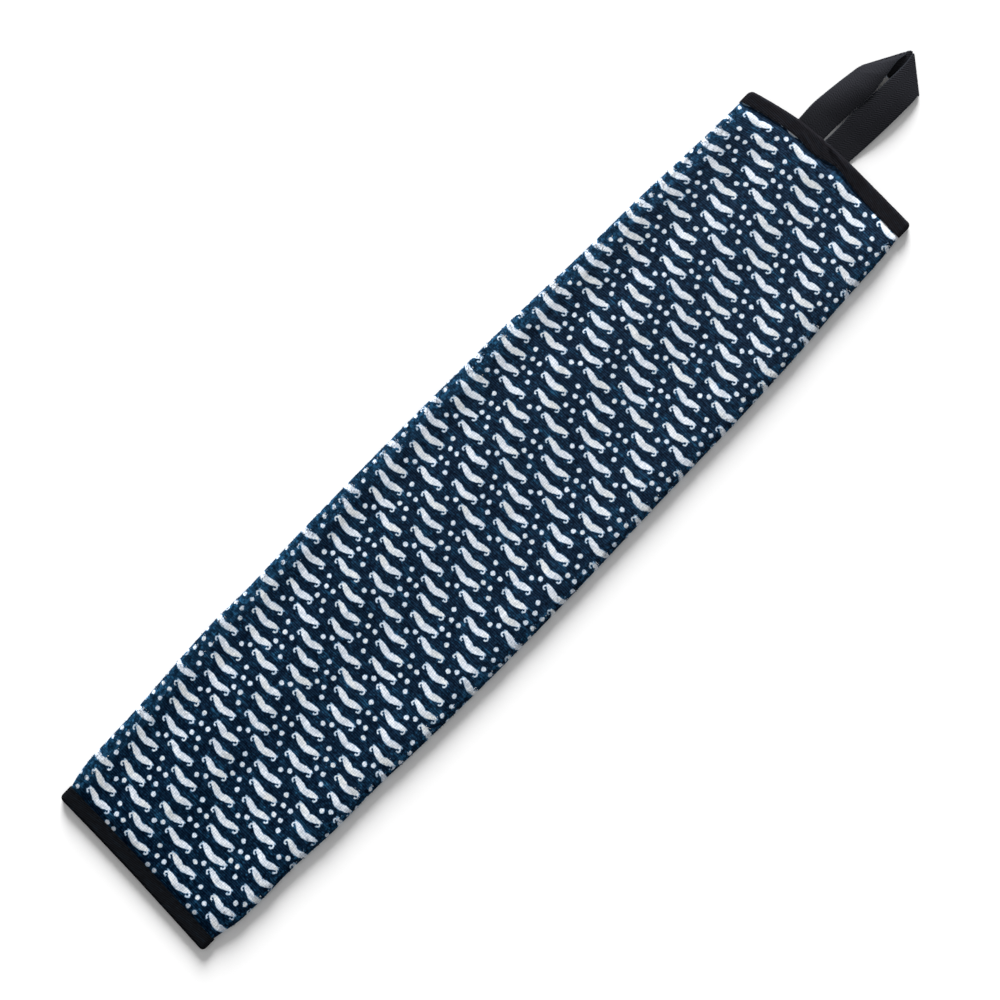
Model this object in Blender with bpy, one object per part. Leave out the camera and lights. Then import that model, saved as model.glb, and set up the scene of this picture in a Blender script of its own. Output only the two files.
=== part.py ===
"""A long narrow cotton towel: one cloth folded lengthwise into a flat band, its two ends bound
with tape, and a hanging loop of wider tape sewn behind the upper binding.

Metres, +Z up. The towel lies face up on its back, its length along Y with the loop at +Y, and its
width along X. Heights are counted from the surface that it lies on. Sizes here are millimetres
until they become points.
"""

import math
from collections import namedtuple

import bmesh
import bpy
from mathutils import Vector

MM = 0.001
GAP = 0.3

# Printed cloth, a single sheet whose two long edges meet along the middle of the back.
CLOTH_THICK = 2.6
CLOTH_PRESSED = 1.6
LAYER_GAP_PRESSED = 0.4
SEAM_OPENING = 3.0
FOLD_REACH = 4.5
FOLD_REACH_PRESSED = 1.15
PUFF_LENGTH = 19.0
PRESSED_PAST_FLAP = 0.6
FOLD_STEPS = 6
FACE_STEPS = 22
BACK_STEPS = 9

# Binding tape, a channel over each end of the folded cloth.
TAPE_THICK = 1.0
FLAP_DEPTH_BACK = 12.5
BINDING_CORNER = 2.5
TURN_REACH = 2.0
TURN_STEPS = 6
CLOTH_SHORT_OF_TAPE = 2.6
CLOTH_INSIDE_TAPE = 1.0
BINDING_STEP = 6.5
TOP_ENDS = (-81.9, 78.8)
BOTTOM_ENDS = (-80.8, 80.5)

# Hanging loop of herringbone tape.
LOOP_THICK = 1.2
LOOP_LIFT = LOOP_THICK + GAP
LOOP_SHOULDER = 22.0
LOOP_ON_TABLE = 0.68
LOOP_ACROSS = 5
LOOP_STEPS = 2
FOLD_TURNS = 5

# The drawn positions below have their middle this far from the origin, along and across.
MIDDLE_ALONG = 0.35
MIDDLE_ACROSS = 0.05

PRESSED_HEIGHT = 2 * CLOTH_PRESSED + LAYER_GAP_PRESSED
BINDING_HEIGHT = PRESSED_HEIGHT + 2 * (GAP + TAPE_THICK)

# Side folds of the cloth, from the lower end to the loop end.
Outline = namedtuple("Outline", "along left right")
OUTLINE = (
    Outline(along=-434, left=-80.2, right=79.6),
    Outline(along=-422, left=-81.4, right=81.0),
    Outline(along=-396, left=-84.4, right=84.6),
    Outline(along=-343, left=-86.0, right=85.2),
    Outline(along=-301, left=-88.5, right=87.6),
    Outline(along=-252, left=-90.9, right=87.8),
    Outline(along=-220, left=-90.1, right=89.4),
    Outline(along=-147, left=-91.5, right=91.5),
    Outline(along=-40, left=-91.5, right=91.5),
    Outline(along=68, left=-90.0, right=89.3),
    Outline(along=145, left=-86.9, right=88.4),
    Outline(along=207, left=-85.4, right=86.1),
    Outline(along=253, left=-83.2, right=83.2),
    Outline(along=299, left=-81.6, right=80.9),
    Outline(along=342, left=-81.6, right=78.6),
)

# Outer edge of each binding and the depth of its front flap, by place across: -1 left, 1 right.
EndLine = namedtuple("EndLine", "across along")
TOP_LINE = (
    EndLine(across=-1.0, along=330.0),
    EndLine(across=-0.75, along=335.3),
    EndLine(across=-0.48, along=339.6),
    EndLine(across=-0.15, along=342.0),
    EndLine(across=0.15, along=343.0),
    EndLine(across=0.55, along=342.9),
    EndLine(across=1.0, along=342.2),
)
BOTTOM_LINE = (
    EndLine(across=-1.0, along=-429.8),
    EndLine(across=-0.5, along=-431.0),
    EndLine(across=0.0, along=-432.6),
    EndLine(across=0.5, along=-434.8),
    EndLine(across=1.0, along=-437.2),
)
FlapDepth = namedtuple("FlapDepth", "across depth")
TOP_FLAP = (
    FlapDepth(across=-1.0, depth=11.9),
    FlapDepth(across=-0.56, depth=11.9),
    FlapDepth(across=-0.33, depth=12.3),
    FlapDepth(across=-0.13, depth=14.0),
    FlapDepth(across=0.04, depth=10.2),
    FlapDepth(across=0.15, depth=9.8),
    FlapDepth(across=0.27, depth=11.4),
    FlapDepth(across=0.52, depth=13.2),
    FlapDepth(across=1.0, depth=14.0),
)
BOTTOM_FLAP = (
    FlapDepth(across=-1.0, depth=12.4),
    FlapDepth(across=0.0, depth=12.3),
    FlapDepth(across=1.0, depth=12.6),
)

# Soft relief of the front: a base height, then long ridges (+) and troughs (-) that run the whole
# length. Places are distances from the named side's fold; values are given at the lower end, at
# mid-length and at the loop end.
FRONT_BASE = 7.7
Relief = namedtuple("Relief", "name side place_low place_mid place_top half_width low mid top")
RELIEF = (
    Relief("left_bead", "left", 10, 11, 12, 7.5, 1.0, 1.3, 1.1),
    Relief("left_trough", "left", 31, 34, 40, 12.0, -0.8, -1.1, -1.2),
    Relief("middle_rise", "left", 64, 62, 70, 20.0, 0.4, 0.5, 0.3),
    Relief("middle_dip", "right", 74, 68, 60, 16.0, -0.5, -0.3, -0.5),
    Relief("right_ridge", "right", 17, 18, 20, 13.0, 1.3, 0.9, 0.8),
)

# Hanging loop, rung by rung up the left leg and down the right one: the tape's outer and inner
# edges, and how far the tape arches between them.
Rung = namedtuple("Rung", "name outer inner arch")
LEFT_LEG = (
    Rung("left_end", outer=(-40.0, 329.5, LOOP_ON_TABLE), inner=(-15.6, 331.0, LOOP_ON_TABLE), arch=0.0),
    Rung("left_leaves", outer=(-40.2, 340.2, 0.74), inner=(-15.7, 341.9, 0.74), arch=0.0),
    Rung("left_low", outer=(-40.8, 356.0, 0.9), inner=(-15.1, 357.0, 2.2), arch=0.8),
    Rung("left_middle", outer=(-39.3, 371.5, 0.9), inner=(-15.1, 373.0, 5.2), arch=2.2),
    Rung("left_high", outer=(-37.3, 387.0, 1.0), inner=(-13.7, 391.0, 7.7), arch=3.6),
    Rung("left_ridge", outer=(-36.1, 395.0, 1.3), inner=(-15.7, 410.0, 7.6), arch=3.4),
    Rung("left_turning", outer=(-35.2, 400.5, 2.0), inner=(-17.4, 424.5, 5.4), arch=1.5),
)
UNDER = (
    Rung("under_middle", outer=(-12.0, 411.9, LOOP_ON_TABLE), inner=(-14.4, 437.0, LOOP_ON_TABLE), arch=0.0),
)
RIGHT_LEG = (
    Rung("right_turning", outer=(13.1, 411.5, 3.6), inner=(-11.5, 428.0, 3.9), arch=0.3),
    Rung("right_ridge", outer=(13.1, 401.5, 4.1), inner=(-11.8, 411.0, 6.3), arch=0.8),
    Rung("right_high", outer=(12.8, 386.0, 3.9), inner=(-12.6, 390.0, 6.4), arch=1.0),
    Rung("right_middle", outer=(12.2, 370.0, 2.9), inner=(-13.9, 371.0, 4.4), arch=0.8),
    Rung("right_low", outer=(11.5, 357.0, 1.7), inner=(-14.1, 357.0, 2.1), arch=0.4),
    Rung("right_leaves", outer=(10.5, 343.4, 0.74), inner=(-13.8, 342.3, 0.74), arch=0.0),
    Rung("right_end", outer=(10.4, 332.5, LOOP_ON_TABLE), inner=(-13.7, 331.2, LOOP_ON_TABLE), arch=0.0),
)

# Mitre folds of the loop: the two ends of the crease, and the height of the ply above at each.
Mitre = namedtuple("Mitre", "outer inner above_outer above_inner")
LEFT_MITRE = Mitre(outer=(-34.4, 403.0), inner=(-17.7, 433.9), above_outer=2.3, above_inner=3.4)
RIGHT_MITRE = Mitre(outer=(13.2, 417.4), inner=(-11.9, 437.3), above_outer=2.9, above_inner=2.4)


def mix(a, b, share):
    return a + (b - a) * share


def soft_step(low, high, value):
    """0 at low, 1 at high, smooth between; low may be the larger one."""
    share = min(1.0, max(0.0, (value - low) / (high - low)))
    return share * share * (3 - 2 * share)


def along_table(rows, key, value, at):
    """A smooth curve through the rows of a table, flat beyond its ends."""
    keys = [getattr(row, key) for row in rows]
    values = [getattr(row, value) for row in rows]
    at = min(keys[-1], max(keys[0], at))
    last = len(rows) - 1
    i = max(k for k in range(last) if keys[k] <= at)

    def slope(k):
        before, after = max(0, k - 1), min(last, k + 1)
        return (values[after] - values[before]) / (keys[after] - keys[before])

    width = keys[i + 1] - keys[i]
    s = (at - keys[i]) / width
    return (
        values[i] * (1 + 2 * s) * (1 - s) ** 2
        + values[i + 1] * s * s * (3 - 2 * s)
        + slope(i) * width * s * (1 - s) ** 2
        - slope(i + 1) * width * s * s * (1 - s)
    )


def point(x, along, z):
    return Vector((x - MIDDLE_ACROSS, along - MIDDLE_ALONG, z)) * MM


def across_share(x, left, right):
    return max(-1.0, min(1.0, (2 * x - left - right) / (right - left)))


def cloth_along(share, across):
    """Distance along at a share of the cloth's length, which is skewed as its two ends are."""
    top = along_table(TOP_LINE, "across", "along", across) - CLOTH_SHORT_OF_TAPE
    bottom = along_table(BOTTOM_LINE, "across", "along", across) + CLOTH_SHORT_OF_TAPE
    return mix(bottom, top, share)


def loop_hump(x):
    """Lift of the upper end where the two legs of the loop lie behind it."""
    left, right = LEFT_LEG[0].outer[0], RIGHT_LEG[0].outer[0]
    rise = soft_step(left - 1 - LOOP_SHOULDER, left - 1, x)
    fall = soft_step(right + 1 + LOOP_SHOULDER, right + 1, x)
    return LOOP_LIFT * rise * fall


def end_state(x, across, along):
    """How far the cloth is pressed by a binding, and how high its back is held there."""
    from_top = along_table(TOP_LINE, "across", "along", across) - along
    from_bottom = along - along_table(BOTTOM_LINE, "across", "along", across)
    if from_top < from_bottom:
        flap = max(row.depth for row in TOP_FLAP)
        distance, lift = from_top, loop_hump(x) * soft_step(44, 16, from_top)
    else:
        flap = max(row.depth for row in BOTTOM_FLAP)
        distance, lift = from_bottom, 0.0
    left_over = 1 - min(1.0, max(0.0, (distance - flap - PRESSED_PAST_FLAP) / PUFF_LENGTH))
    pressed = 1 - math.sqrt(1 - left_over * left_over)
    back = (GAP + TAPE_THICK) * soft_step(27, 15, distance) + lift
    return pressed, back


def front_height(x, left, right, along):
    """Height of the printed face above the cloth's back, with its long ridges and troughs."""
    height = FRONT_BASE
    toward = min(1.0, max(-1.0, along / 330.0))
    for row in RELIEF:
        low = row.side == "left"
        end_place = row.place_top if toward > 0 else row.place_low
        end_value = row.top if toward > 0 else row.low
        place = mix(row.place_mid, end_place, abs(toward))
        size = mix(row.mid, end_value, abs(toward))
        distance = (x - left if low else right - x) - place
        height += size * math.exp(-((distance / row.half_width) ** 2))
    return height


def section(share):
    """Middle line and outward direction of the folded cloth at one place along it."""
    along_middle = cloth_along(share, 0.0)
    left = along_table(OUTLINE, "along", "left", cloth_along(share, -1.0))
    right = along_table(OUTLINE, "along", "right", cloth_along(share, 1.0))
    pressed_end, _ = end_state(0.0, 0.0, along_middle)
    tape = TOP_ENDS if share > 0.5 else BOTTOM_ENDS
    left = mix(left, tape[0] + CLOTH_INSIDE_TAPE, pressed_end)
    right = mix(right, tape[1] - CLOTH_INSIDE_TAPE, pressed_end)

    def state(x):
        across = across_share(x, left, right)
        along = cloth_along(share, across)
        pressed, back = end_state(x, across, along)
        full = front_height(x, left, right, along)
        return along, pressed, back, mix(full, PRESSED_HEIGHT, pressed)

    def thick(pressed):
        return mix(CLOTH_THICK, CLOTH_PRESSED, pressed)

    def fold(edge, toward, steps):
        """The round of one side fold, from its under side to its upper side."""
        reach = mix(FOLD_REACH, FOLD_REACH_PRESSED, state(edge)[1])
        half = thick(state(edge)[1]) / 2
        centre = edge + toward * (half + reach)
        along, pressed, back, height = state(centre)
        half = thick(pressed) / 2
        rise = height / 2 - half
        middle = back + height / 2
        made = []
        for k in range(steps + 1):
            angle = math.pi * (k / steps - 0.5)
            x = centre - toward * reach * math.cos(angle)
            z = middle + rise * math.sin(angle)
            out = Vector((-toward * math.cos(angle) / reach, math.sin(angle) / rise)).normalized()
            made.append((x, along, z, out, half))
        return made

    def flat(start, end, steps, face):
        made = []
        for k in range(steps + 1):
            x = mix(start, end, k / steps)
            along, pressed, back, height = state(x)
            half = thick(pressed) / 2
            z = back + height - half if face else back + half
            slope = 0.0
            if face:
                beyond = state(x + 0.5)
                before = state(x - 0.5)
                slope = (beyond[2] + beyond[3]) - (before[2] + before[3])
            out = Vector((-slope, 1.0)).normalized() if face else Vector((0.0, -1.0))
            made.append((x, along, z, out, half))
        return made

    left_fold = fold(left, 1, FOLD_STEPS)
    right_fold = fold(right, -1, FOLD_STEPS)
    seam = SEAM_OPENING / 2
    line = flat(-seam, left_fold[0][0], BACK_STEPS, face=False)[:-1]
    line += left_fold
    line += flat(left_fold[-1][0], right_fold[-1][0], FACE_STEPS, face=True)[1:-1]
    line += right_fold[::-1]
    line += flat(right_fold[0][0], seam, BACK_STEPS, face=False)[1:]
    return line


def cloth_stations():
    """Shares of the length: close together beside the bindings, wide apart between them."""
    length = cloth_along(1.0, 0.0) - cloth_along(0.0, 0.0)
    near_end = (0.0, 4.0, 7.6, 10.3, 12.0, 14.5, 18.0, 23.0, 30.0, 40.0)
    inner = 20
    first = near_end[-1]
    step = (length - 2 * first) / inner
    places = list(near_end)
    places += [first + step * k for k in range(1, inner)]
    places += [length - place for place in reversed(near_end)]
    return [place / length for place in places]


def cloth_sides():
    outer, inner = [], []
    for share in cloth_stations():
        line = section(share)
        outer.append([point(x + out.x * half, along, z + out.y * half) for x, along, z, out, half in line])
        inner.append([point(x - out.x * half, along, z - out.y * half) for x, along, z, out, half in line])
    return outer, inner


def binding_places(left, right):
    """Places across a binding: close together at its two corners."""
    corner = (0.0, 0.3, 0.9, 1.7, BINDING_CORNER)
    inner = math.ceil((right - left - 2 * BINDING_CORNER) / BINDING_STEP)
    places = [left + c for c in corner]
    places += [mix(left + BINDING_CORNER, right - BINDING_CORNER, k / inner) for k in range(1, inner)]
    places += [right - c for c in reversed(corner)]
    return places


def binding_sides(end_line, flaps, ends, toward, hump):
    """A channel of tape over one end: front flap, turn round the edge, back flap."""
    outer, inner = [], []
    left, right = ends
    half = TAPE_THICK / 2
    for x in binding_places(left, right):
        across = across_share(x, left, right)
        to_corner = BINDING_CORNER - min(x - left, right - x, BINDING_CORNER)
        cut = BINDING_CORNER - math.sqrt(BINDING_CORNER**2 - to_corner**2)
        edge = along_table(end_line, "across", "along", across) - toward * cut
        front = edge - toward * (along_table(flaps, "across", "depth", across) - cut)
        back = edge - toward * (FLAP_DEPTH_BACK - cut)
        low = hump(x)
        droop = 0.8 * soft_step(BINDING_CORNER, 0.0, min(x - left, right - x))
        high = low + BINDING_HEIGHT - droop
        middle = (low + high) / 2
        rise = (high - low) / 2 - half
        turn = edge - toward * (half + TURN_REACH)
        line = [(mix(front, turn, k / 3), middle + rise, 0.0, 1.0) for k in range(3)]
        for k in range(TURN_STEPS + 1):
            angle = math.pi * (0.5 - k / TURN_STEPS)
            out = Vector((math.cos(angle) / TURN_REACH, math.sin(angle) / rise)).normalized()
            line.append(
                (
                    turn + toward * TURN_REACH * math.cos(angle),
                    middle + rise * math.sin(angle),
                    toward * out.x,
                    out.y,
                )
            )
        line += [(mix(turn, back, k / 2), middle - rise, 0.0, -1.0) for k in range(1, 3)]
        outer.append([point(x, y + oy * half, z + oz * half) for y, z, oy, oz in line])
        inner.append([point(x, y - oy * half, z - oz * half) for y, z, oy, oz in line])
    return outer, inner


def mitre_rungs(mitre, from_above):
    """Rungs round a mitre fold, from the ply above to the ply on the table or back."""
    crease = Vector(mitre.inner) - Vector(mitre.outer)
    inward = Vector((crease.y, -crease.x)).normalized()
    if inward.y > 0:
        inward = -inward
    made = []
    for k in range(FOLD_TURNS + 1):
        angle = math.pi * k / FOLD_TURNS
        edges = []
        for end, above in ((mitre.outer, mitre.above_outer), (mitre.inner, mitre.above_inner)):
            radius = (above - LOOP_ON_TABLE) / 2
            back_off = radius * (1 - math.sin(angle))
            place = Vector(end) + inward * back_off
            edges.append((place.x, place.y, LOOP_ON_TABLE + radius * (1 + math.cos(angle))))
        made.append(Rung("mitre", outer=edges[0], inner=edges[1], arch=0.0))
    return made if from_above else made[::-1]


def smooth_rungs(rungs):
    """Extra rungs between the given ones, along a smooth curve through each edge."""
    rows = [(Vector(rung.outer), Vector(rung.inner), Vector((rung.arch, 0, 0))) for rung in rungs]
    made = []
    for i in range(len(rows) - 1):
        before, after = max(0, i - 1), min(len(rows) - 1, i + 2)
        for k in range(LOOP_STEPS):
            s = k / LOOP_STEPS
            new = []
            for p0, p1, p2, p3 in zip(rows[before], rows[i], rows[i + 1], rows[after]):
                span = (p2 - p1).length
                in_slope = (p2 - p0) * span / max(1e-6, (p1 - p0).length + span)
                out_slope = (p3 - p1) * span / max(1e-6, (p3 - p2).length + span)
                new.append(
                    p1 * ((1 + 2 * s) * (1 - s) ** 2)
                    + p2 * (s * s * (3 - 2 * s))
                    + in_slope * (s * (1 - s) ** 2)
                    - out_slope * (s * s * (1 - s))
                )
            made.append(new)
    made.append(list(rows[-1]))
    return made


def loop_sides():
    rungs = list(LEFT_LEG)
    rungs += mitre_rungs(LEFT_MITRE, from_above=True)
    rungs += UNDER
    rungs += mitre_rungs(RIGHT_MITRE, from_above=False)
    rungs += RIGHT_LEG
    grid = []
    for outer_edge, inner_edge, arch in smooth_rungs(rungs):
        row = []
        for k in range(LOOP_ACROSS):
            s = k / (LOOP_ACROSS - 1)
            place = outer_edge.lerp(inner_edge, s)
            place.z += arch.x * 4 * s * (1 - s)
            row.append(place)
        grid.append(row)
    outer, inner = [], []
    for i, row in enumerate(grid):
        before, after = grid[max(0, i - 1)], grid[min(len(grid) - 1, i + 1)]
        above, below = [], []
        for k, place in enumerate(row):
            run = after[k] - before[k]
            over = row[min(LOOP_ACROSS - 1, k + 1)] - row[max(0, k - 1)]
            out = over.cross(run).normalized() * (LOOP_THICK / 2)
            above.append(point(*(place + out)))
            below.append(point(*(place - out)))
        outer.append(above)
        inner.append(below)
    return outer, inner


def solid_sheet(name, sides, material):
    """One closed solid between two matching grids of points, the two faces of a sheet."""
    mesh = bmesh.new()
    outer = [[mesh.verts.new(place) for place in row] for row in sides[0]]
    inner = [[mesh.verts.new(place) for place in row] for row in sides[1]]
    rows, columns = len(outer), len(outer[0])
    for i in range(rows - 1):
        for j in range(columns - 1):
            mesh.faces.new((outer[i][j], outer[i + 1][j], outer[i + 1][j + 1], outer[i][j + 1]))
            mesh.faces.new((inner[i][j], inner[i][j + 1], inner[i + 1][j + 1], inner[i + 1][j]))
    for i in range(rows - 1):
        mesh.faces.new((outer[i][0], inner[i][0], inner[i + 1][0], outer[i + 1][0]))
        mesh.faces.new((outer[i][-1], outer[i + 1][-1], inner[i + 1][-1], inner[i][-1]))
    for j in range(columns - 1):
        mesh.faces.new((outer[0][j], outer[0][j + 1], inner[0][j + 1], inner[0][j]))
        mesh.faces.new((outer[-1][j], inner[-1][j], inner[-1][j + 1], outer[-1][j + 1]))
    bmesh.ops.recalc_face_normals(mesh, faces=mesh.faces)
    data = bpy.data.meshes.new(name)
    mesh.to_mesh(data)
    mesh.free()
    data.shade_smooth()
    data.set_sharp_from_angle(angle=math.radians(50))
    made = bpy.data.objects.new(name, data)
    bpy.context.scene.collection.objects.link(made)
    data.materials.append(material)
    return made


def cotton(name, colour, roughness):
    material = bpy.data.materials.new(name)
    material.use_nodes = True
    shader = material.node_tree.nodes["Principled BSDF"]
    shader.inputs["Base Color"].default_value = (*colour, 1.0)
    shader.inputs["Roughness"].default_value = roughness
    shader.inputs["Metallic"].default_value = 0.0
    return material


def no_hump(x):
    return 0.0


def build():
    for left_over in list(bpy.data.objects):
        bpy.data.objects.remove(left_over)
    navy = cotton("towel", (0.013, 0.022, 0.045), 0.95)
    black = cotton("binding", (0.012, 0.012, 0.014), 0.9)
    black_loop = cotton("loop", (0.016, 0.015, 0.017), 0.85)
    solid_sheet("towel", cloth_sides(), navy)
    solid_sheet("binding_top", binding_sides(TOP_LINE, TOP_FLAP, TOP_ENDS, 1, loop_hump), black)
    solid_sheet("binding_bottom", binding_sides(BOTTOM_LINE, BOTTOM_FLAP, BOTTOM_ENDS, -1, no_hump), black)
    solid_sheet("hanging_loop", loop_sides(), black_loop)


build()
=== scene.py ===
"""The looks of the folded towel: printed terry cloth, twill bindings, herringbone hanging loop.

Sizes are millimetres in the solids' frame until they become points: Z up, Y along the towel towards
its loop, X across it. The cloth, the bindings and the loop start from the sizes of the solids that
they replace and are drawn at a finer pitch. Colours are linear.
"""

import math
from collections import namedtuple

import bpy
import numpy as np
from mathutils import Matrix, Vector, noise


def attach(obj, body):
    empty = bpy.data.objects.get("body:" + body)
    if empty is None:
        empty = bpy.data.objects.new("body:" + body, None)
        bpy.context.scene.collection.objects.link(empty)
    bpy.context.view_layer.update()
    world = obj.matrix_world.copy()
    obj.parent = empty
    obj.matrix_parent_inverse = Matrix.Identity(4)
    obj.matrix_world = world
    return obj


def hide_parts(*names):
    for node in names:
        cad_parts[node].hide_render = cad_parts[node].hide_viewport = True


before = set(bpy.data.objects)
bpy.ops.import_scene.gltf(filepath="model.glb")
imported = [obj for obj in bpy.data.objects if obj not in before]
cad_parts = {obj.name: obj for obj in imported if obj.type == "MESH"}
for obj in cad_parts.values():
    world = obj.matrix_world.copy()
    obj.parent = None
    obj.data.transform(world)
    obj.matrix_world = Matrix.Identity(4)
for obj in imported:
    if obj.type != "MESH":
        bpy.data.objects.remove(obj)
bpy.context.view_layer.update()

MM = 0.001
GAP = 0.3

# Printed cloth.
CLOTH_THICK = 2.6
CLOTH_PRESSED = 1.6
LAYER_GAP_PRESSED = 0.4
SEAM_OPENING = 3.0
FOLD_REACH = 4.5
FOLD_REACH_PRESSED = 1.15
PUFF_LENGTH = 26.0
PRESSED_PAST_FLAP = 0.6
# Distances from an end between which its back is held up by the tape, and by the loop behind it.
TAPE_LIFT_PLACE = (27.0, 15.0)
HUMP_PLACE = (44.0, 16.0)
# Unevenness of the surface: its long waves, its short ones, and where both fade out at the ends.
LONG_STRAY = 0.35
SHORT_STRAY = 0.18
STRAY_LENGTH = 770
STRAY_FADE = 20
CLOTH_ROWS = 300
FOLD_STEPS = 14
FACE_STEPS = 84
BACK_STEPS = 14

# Binding tape.
TAPE_THICK = 1.0
FLAP_DEPTH_BACK = 12.5
BINDING_CORNER = 3.6
TURN_REACH = 2.0
CLOTH_SHORT_OF_TAPE = 2.6
CLOTH_INSIDE_TAPE = 1.0
BINDING_DROOP = 0.8
TOP_ENDS = (-81.9, 78.8)
BOTTOM_ENDS = (-80.8, 80.5)
BINDING_COLUMNS = 220
CORNER_STEPS = 8
FRONT_FLAP_STEPS = 8
TURN_STEPS = 12
BACK_FLAP_STEPS = 5

# Hanging loop.
LOOP_WIDTH = 25.0
LOOP_THICK = 1.2
LOOP_LIFT = LOOP_THICK + GAP
LOOP_SHOULDER = 22.0
LOOP_ON_TABLE = 0.68
LOOP_ACROSS = 31
LOOP_STEPS = 30
MITRE_STEPS = 3
LOOP_EDGE_SHARE = 0.6
KNOB_PITCH = 1.7
KNOB_SIZE = 0.25
FOLD_TURNS = 8

# The drawn positions below have their middle this far from the origin, along and across.
MIDDLE_ALONG = 0.35
MIDDLE_ACROSS = 0.05

PRESSED_HEIGHT = 2 * CLOTH_PRESSED + LAYER_GAP_PRESSED
BINDING_HEIGHT = PRESSED_HEIGHT + 2 * (GAP + TAPE_THICK)

# Side folds of the cloth, from the lower end to the loop end.
Outline = namedtuple("Outline", "along left right")
OUTLINE = (
    Outline(-434, -80.2, 79.6),
    Outline(-422, -81.4, 81.0),
    Outline(-396, -84.4, 84.6),
    Outline(-343, -86.0, 85.2),
    Outline(-301, -88.5, 87.6),
    Outline(-252, -90.9, 87.8),
    Outline(-220, -90.1, 89.4),
    Outline(-147, -91.5, 91.5),
    Outline(-40, -91.5, 91.5),
    Outline(68, -90.0, 89.3),
    Outline(145, -86.9, 88.4),
    Outline(207, -85.4, 86.1),
    Outline(253, -83.2, 83.2),
    Outline(299, -81.6, 80.9),
    Outline(342, -81.6, 78.6),
)

# Outer edge of each binding and the depth of its front flap, by place across: -1 left, 1 right.
EndLine = namedtuple("EndLine", "across along")
TOP_LINE = (
    EndLine(-1.0, 330.0),
    EndLine(-0.75, 335.3),
    EndLine(-0.48, 339.6),
    EndLine(-0.15, 342.0),
    EndLine(0.15, 343.0),
    EndLine(0.55, 342.9),
    EndLine(1.0, 342.2),
)
BOTTOM_LINE = (
    EndLine(-1.0, -429.8),
    EndLine(-0.5, -431.0),
    EndLine(0.0, -432.6),
    EndLine(0.5, -434.8),
    EndLine(1.0, -437.2),
)
FlapDepth = namedtuple("FlapDepth", "across depth")
TOP_FLAP = (
    FlapDepth(-1.0, 11.9),
    FlapDepth(-0.56, 11.9),
    FlapDepth(-0.33, 12.3),
    FlapDepth(-0.13, 14.0),
    FlapDepth(0.04, 10.2),
    FlapDepth(0.15, 9.8),
    FlapDepth(0.27, 11.4),
    FlapDepth(0.52, 13.2),
    FlapDepth(1.0, 14.0),
)
BOTTOM_FLAP = (
    FlapDepth(-1.0, 12.4),
    FlapDepth(0.0, 12.3),
    FlapDepth(1.0, 12.6),
)

# Soft relief of the front: a base height, then long ridges (+) and troughs (-) that run the whole
# length. Places are distances from the named side's fold; values are given at the lower end, at
# mid-length and at the loop end.
FRONT_BASE = 7.7
Relief = namedtuple("Relief", "name side place_low place_mid place_top half_width low mid top")
RELIEF = (
    Relief("left_bead", "left", 10, 11, 12, 7.5, 0.8, 1.0, 0.9),
    Relief("left_trough", "left", 31, 34, 40, 12.0, -0.6, -0.7, -0.8),
    Relief("middle_rise", "left", 64, 62, 70, 20.0, 0.4, 0.5, 0.3),
    Relief("middle_dip", "right", 74, 68, 60, 16.0, -0.5, -0.3, -0.5),
    Relief("right_ridge", "right", 17, 18, 20, 13.0, 1.1, 0.8, 0.7),
)

# Hanging loop, rung by rung up the left leg and down the right one: the tape's outer and inner
# edges, and how far the tape arches between them.
Rung = namedtuple("Rung", "name outer inner arch")
LEFT_LEG = (
    Rung("left_end", outer=(-40.0, 329.5, LOOP_ON_TABLE), inner=(-15.6, 331.0, LOOP_ON_TABLE), arch=0.0),
    Rung("left_leaves", outer=(-40.2, 340.2, 0.74), inner=(-15.7, 341.9, 0.74), arch=0.0),
    Rung("left_low", outer=(-40.8, 356.0, 0.9), inner=(-15.5, 357.0, 2.2), arch=0.8),
    Rung("left_middle", outer=(-39.3, 371.5, 0.9), inner=(-14.7, 373.0, 5.2), arch=2.2),
    Rung("left_high", outer=(-37.3, 387.0, 1.0), inner=(-13.3, 391.0, 7.7), arch=3.6),
    Rung("left_ridge", outer=(-36.1, 395.0, 1.3), inner=(-15.7, 410.0, 7.6), arch=3.4),
    Rung("left_turning", outer=(-35.2, 400.5, 2.0), inner=(-17.4, 424.5, 5.4), arch=1.5),
)
UNDER = (
    Rung("under_left", outer=(-22.0, 408.0, LOOP_ON_TABLE), inner=(-16.6, 436.3, 1.5), arch=0.0),
    Rung("under_middle", outer=(-12.0, 411.9, LOOP_ON_TABLE), inner=(-14.6, 438.4, 1.9), arch=0.0),
)
RIGHT_LEG = (
    Rung("right_turning", outer=(13.1, 411.5, 3.6), inner=(-11.5, 428.0, 3.9), arch=0.3),
    Rung("right_ridge", outer=(13.1, 401.5, 4.1), inner=(-11.8, 411.0, 6.3), arch=0.8),
    Rung("right_high", outer=(12.8, 386.0, 3.9), inner=(-12.6, 390.0, 6.4), arch=1.0),
    Rung("right_middle", outer=(12.2, 370.0, 2.9), inner=(-13.9, 371.0, 4.4), arch=0.8),
    Rung("right_low", outer=(11.5, 357.0, 1.7), inner=(-13.6, 357.0, 2.1), arch=0.4),
    Rung("right_leaves", outer=(10.5, 343.4, 0.74), inner=(-13.8, 342.3, 0.74), arch=0.0),
    Rung("right_end", outer=(10.4, 332.5, LOOP_ON_TABLE), inner=(-13.7, 331.2, LOOP_ON_TABLE), arch=0.0),
)

# Mitre folds of the loop: the two ends of the crease, and the height of the ply above at each.
Mitre = namedtuple("Mitre", "outer inner above_outer above_inner")
LEFT_MITRE = Mitre(outer=(-34.4, 403.0), inner=(-17.3, 434.3), above_outer=2.3, above_inner=3.4)
RIGHT_MITRE = Mitre(outer=(13.2, 417.4), inner=(-12.2, 438.0), above_outer=2.9, above_inner=2.4)

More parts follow.
